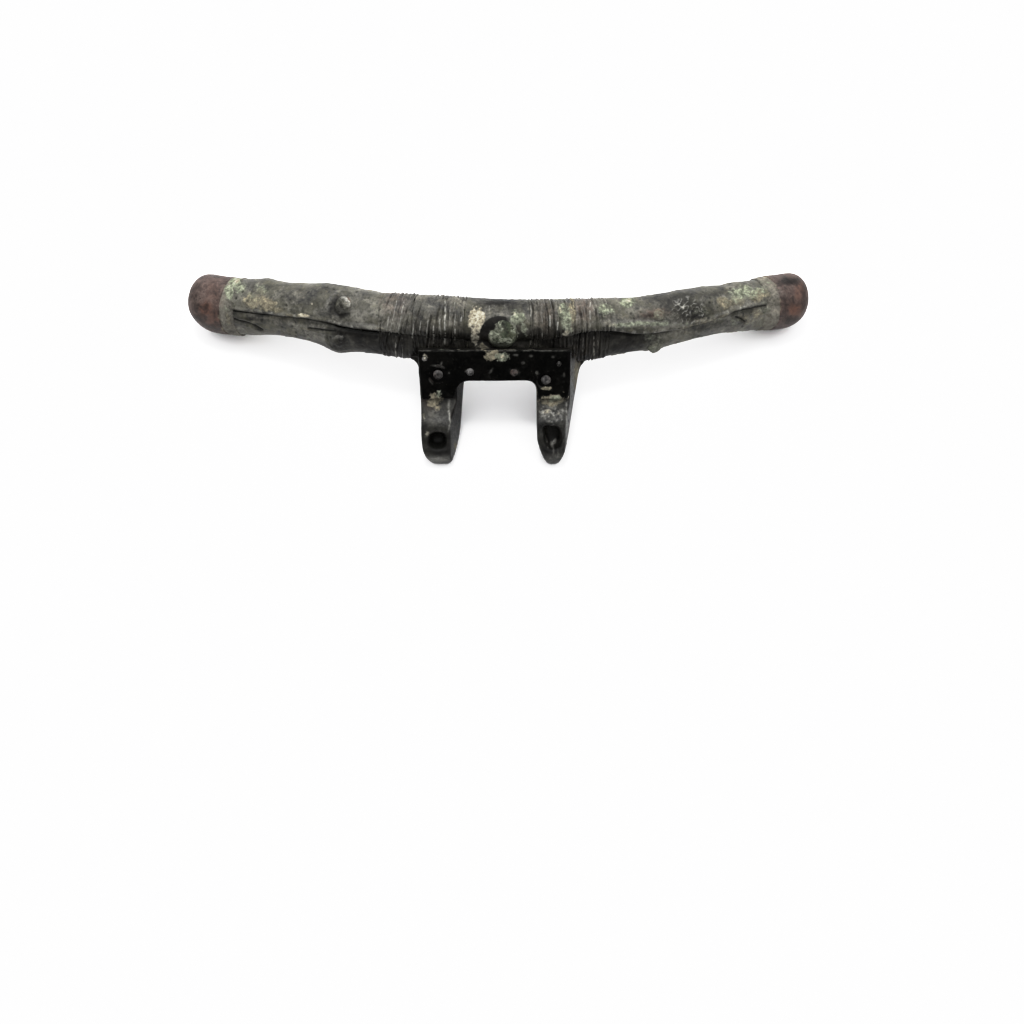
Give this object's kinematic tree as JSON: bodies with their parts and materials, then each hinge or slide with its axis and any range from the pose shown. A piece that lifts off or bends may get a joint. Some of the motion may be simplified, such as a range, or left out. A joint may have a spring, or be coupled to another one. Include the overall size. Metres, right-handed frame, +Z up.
{
  "type": "cleat horn",
  "caption": "Bow-shaped two-horned bronze cleat bar with domed copper ends and wire bindings, on a two-legged bracket locked by a loose cross pin.",
  "frame": {"origin": "centre of the footprint, on the surface the piece lies on: under the middle of its bounding box", "axes": "+X along the horns towards the right-hand cap, +Z up off that surface, -Y towards the side the two feet and the facing plate point to"},
  "size_m": [0.1002, 0.0333, 0.0171],
  "materials": {
    "bar_bronze": "aged bronze, grey-green patina with tan and pale green deposits, worn glossy on the ridges",
    "binding_wire": "worn wire winding fused by corrosion, dark grey with reddish tint",
    "cap_copper": "reddish-brown oxidised copper, satin, with darker spots",
    "collar_pale": "pale beige-grey crust over bronze, matt",
    "bracket_bronze": "dark bronze, glossy near-black with grey worn toes",
    "plate_black": "black glossy patina with small pale scratches",
    "pin_verdigris": "green corroded bronze, matt, with white-green crust",
    "rivet_bronze": "worn grey bronze heads"
  },
  "bodies": {
    "cleat": {"bar_top": "bar_bronze", "lower_strip_left": "bar_bronze", "lower_strip_right": "bar_bronze", "collar_left": "collar_pale", "collar_right": "collar_pale", "end_cap_left": "cap_copper", "end_cap_right": "cap_copper", "binding_left_outer": "binding_wire", "binding_left_inner": "binding_wire", "binding_right_inner": "binding_wire", "binding_right_outer": "binding_wire", "bracket": "bracket_bronze", "facing_plate": "plate_black", "leg_rivet_left": "rivet_bronze", "leg_rivet_right": "rivet_bronze", "leg_rove_left": "rivet_bronze", "leg_rove_right": "rivet_bronze", "web_rivet_left": "rivet_bronze", "web_rivet_right": "rivet_bronze", "corner_pin_left": "rivet_bronze", "corner_pin_right": "rivet_bronze", "eye_stud_left_upper": "bar_bronze", "eye_stud_left_lower": "bar_bronze", "eye_stud_right_upper": "bar_bronze", "eye_stud_right_lower": "bar_bronze"},
    "pin": {"cross_pin": "pin_verdigris"}
  },
  "joints": [
    {"name": "pin_draw", "type": "slide", "parent": "cleat", "child": "pin", "axis": [0, -0.7771, 0.6293], "range_m": [0, 0.009]}
  ]
}
